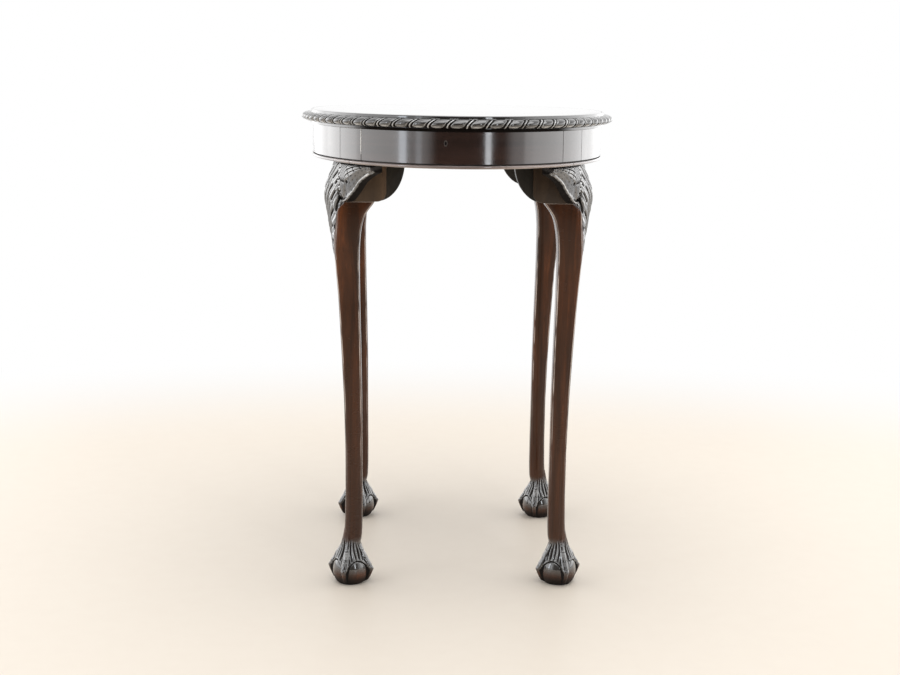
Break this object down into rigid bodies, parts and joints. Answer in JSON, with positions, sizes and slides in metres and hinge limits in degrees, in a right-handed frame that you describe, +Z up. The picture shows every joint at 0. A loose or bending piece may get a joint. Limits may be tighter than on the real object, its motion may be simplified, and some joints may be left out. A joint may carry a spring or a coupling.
{
  "type": "window table",
  "caption": "Oval mahogany window table with a leaning gadrooned edge, a plain beaded apron and cabriole legs on claw-and-ball feet.",
  "frame": {"origin": "on the floor, under the middle of the oval top", "axes": "+Z up, +Y along the oval's long axis, +X across it; the front end in the picture is at -Y"},
  "size_m": [0.5, 0.762, 0.737],
  "materials": {
    "mahogany": "polished, dark reddish brown",
    "mahogany_veneer": "french polished, glossy",
    "mahogany_carved": "polished carving, nearly black in the hollows",
    "inside_wood": "unpolished",
    "screw_steel": "dull"
  },
  "bodies": {
    "root": {"bead_back": "mahogany", "bead_front": "mahogany", "bead_left": "mahogany", "bead_right": "mahogany", "corner_block_back_left": "mahogany_veneer", "corner_block_back_right": "mahogany_veneer", "corner_block_front_left": "mahogany_veneer", "corner_block_front_right": "mahogany_veneer", "cross_rail_back": "inside_wood", "cross_rail_front": "inside_wood", "ear_back_left": "mahogany_carved", "ear_back_right": "mahogany_carved", "ear_front_left": "mahogany_carved", "ear_front_right": "mahogany_carved", "edge_back": "mahogany_carved", "edge_front": "mahogany_carved", "edge_left": "mahogany_carved", "edge_right": "mahogany_carved", "end_rail_back": "mahogany_veneer", "end_rail_front": "mahogany_veneer", "glue_block_back_left": "inside_wood", "glue_block_back_right": "inside_wood", "glue_block_front_left": "inside_wood", "glue_block_front_right": "inside_wood", "glue_block_left_back": "inside_wood", "glue_block_left_front": "inside_wood", "glue_block_right_back": "inside_wood", "glue_block_right_front": "inside_wood", "inner_cheek_back_left": "mahogany", "inner_cheek_back_right": "mahogany", "inner_cheek_front_left": "mahogany", "inner_cheek_front_right": "mahogany", "knee_bracket_back_left": "mahogany", "knee_bracket_back_right": "mahogany", "knee_bracket_front_left": "mahogany", "knee_bracket_front_right": "mahogany", "leg_back_left": "mahogany", "leg_back_right": "mahogany", "leg_front_left": "mahogany", "leg_front_right": "mahogany", "outer_cheek_back_left": "mahogany", "outer_cheek_back_right": "mahogany", "outer_cheek_front_left": "mahogany", "outer_cheek_front_right": "mahogany", "side_rail_left": "mahogany_veneer", "side_rail_right": "mahogany_veneer", "top_board": "mahogany_veneer", "top_screw_back_left": "screw_steel", "top_screw_back_right": "screw_steel", "top_screw_front_left": "screw_steel", "top_screw_front_right": "screw_steel"}
  },
  "joints": []
}
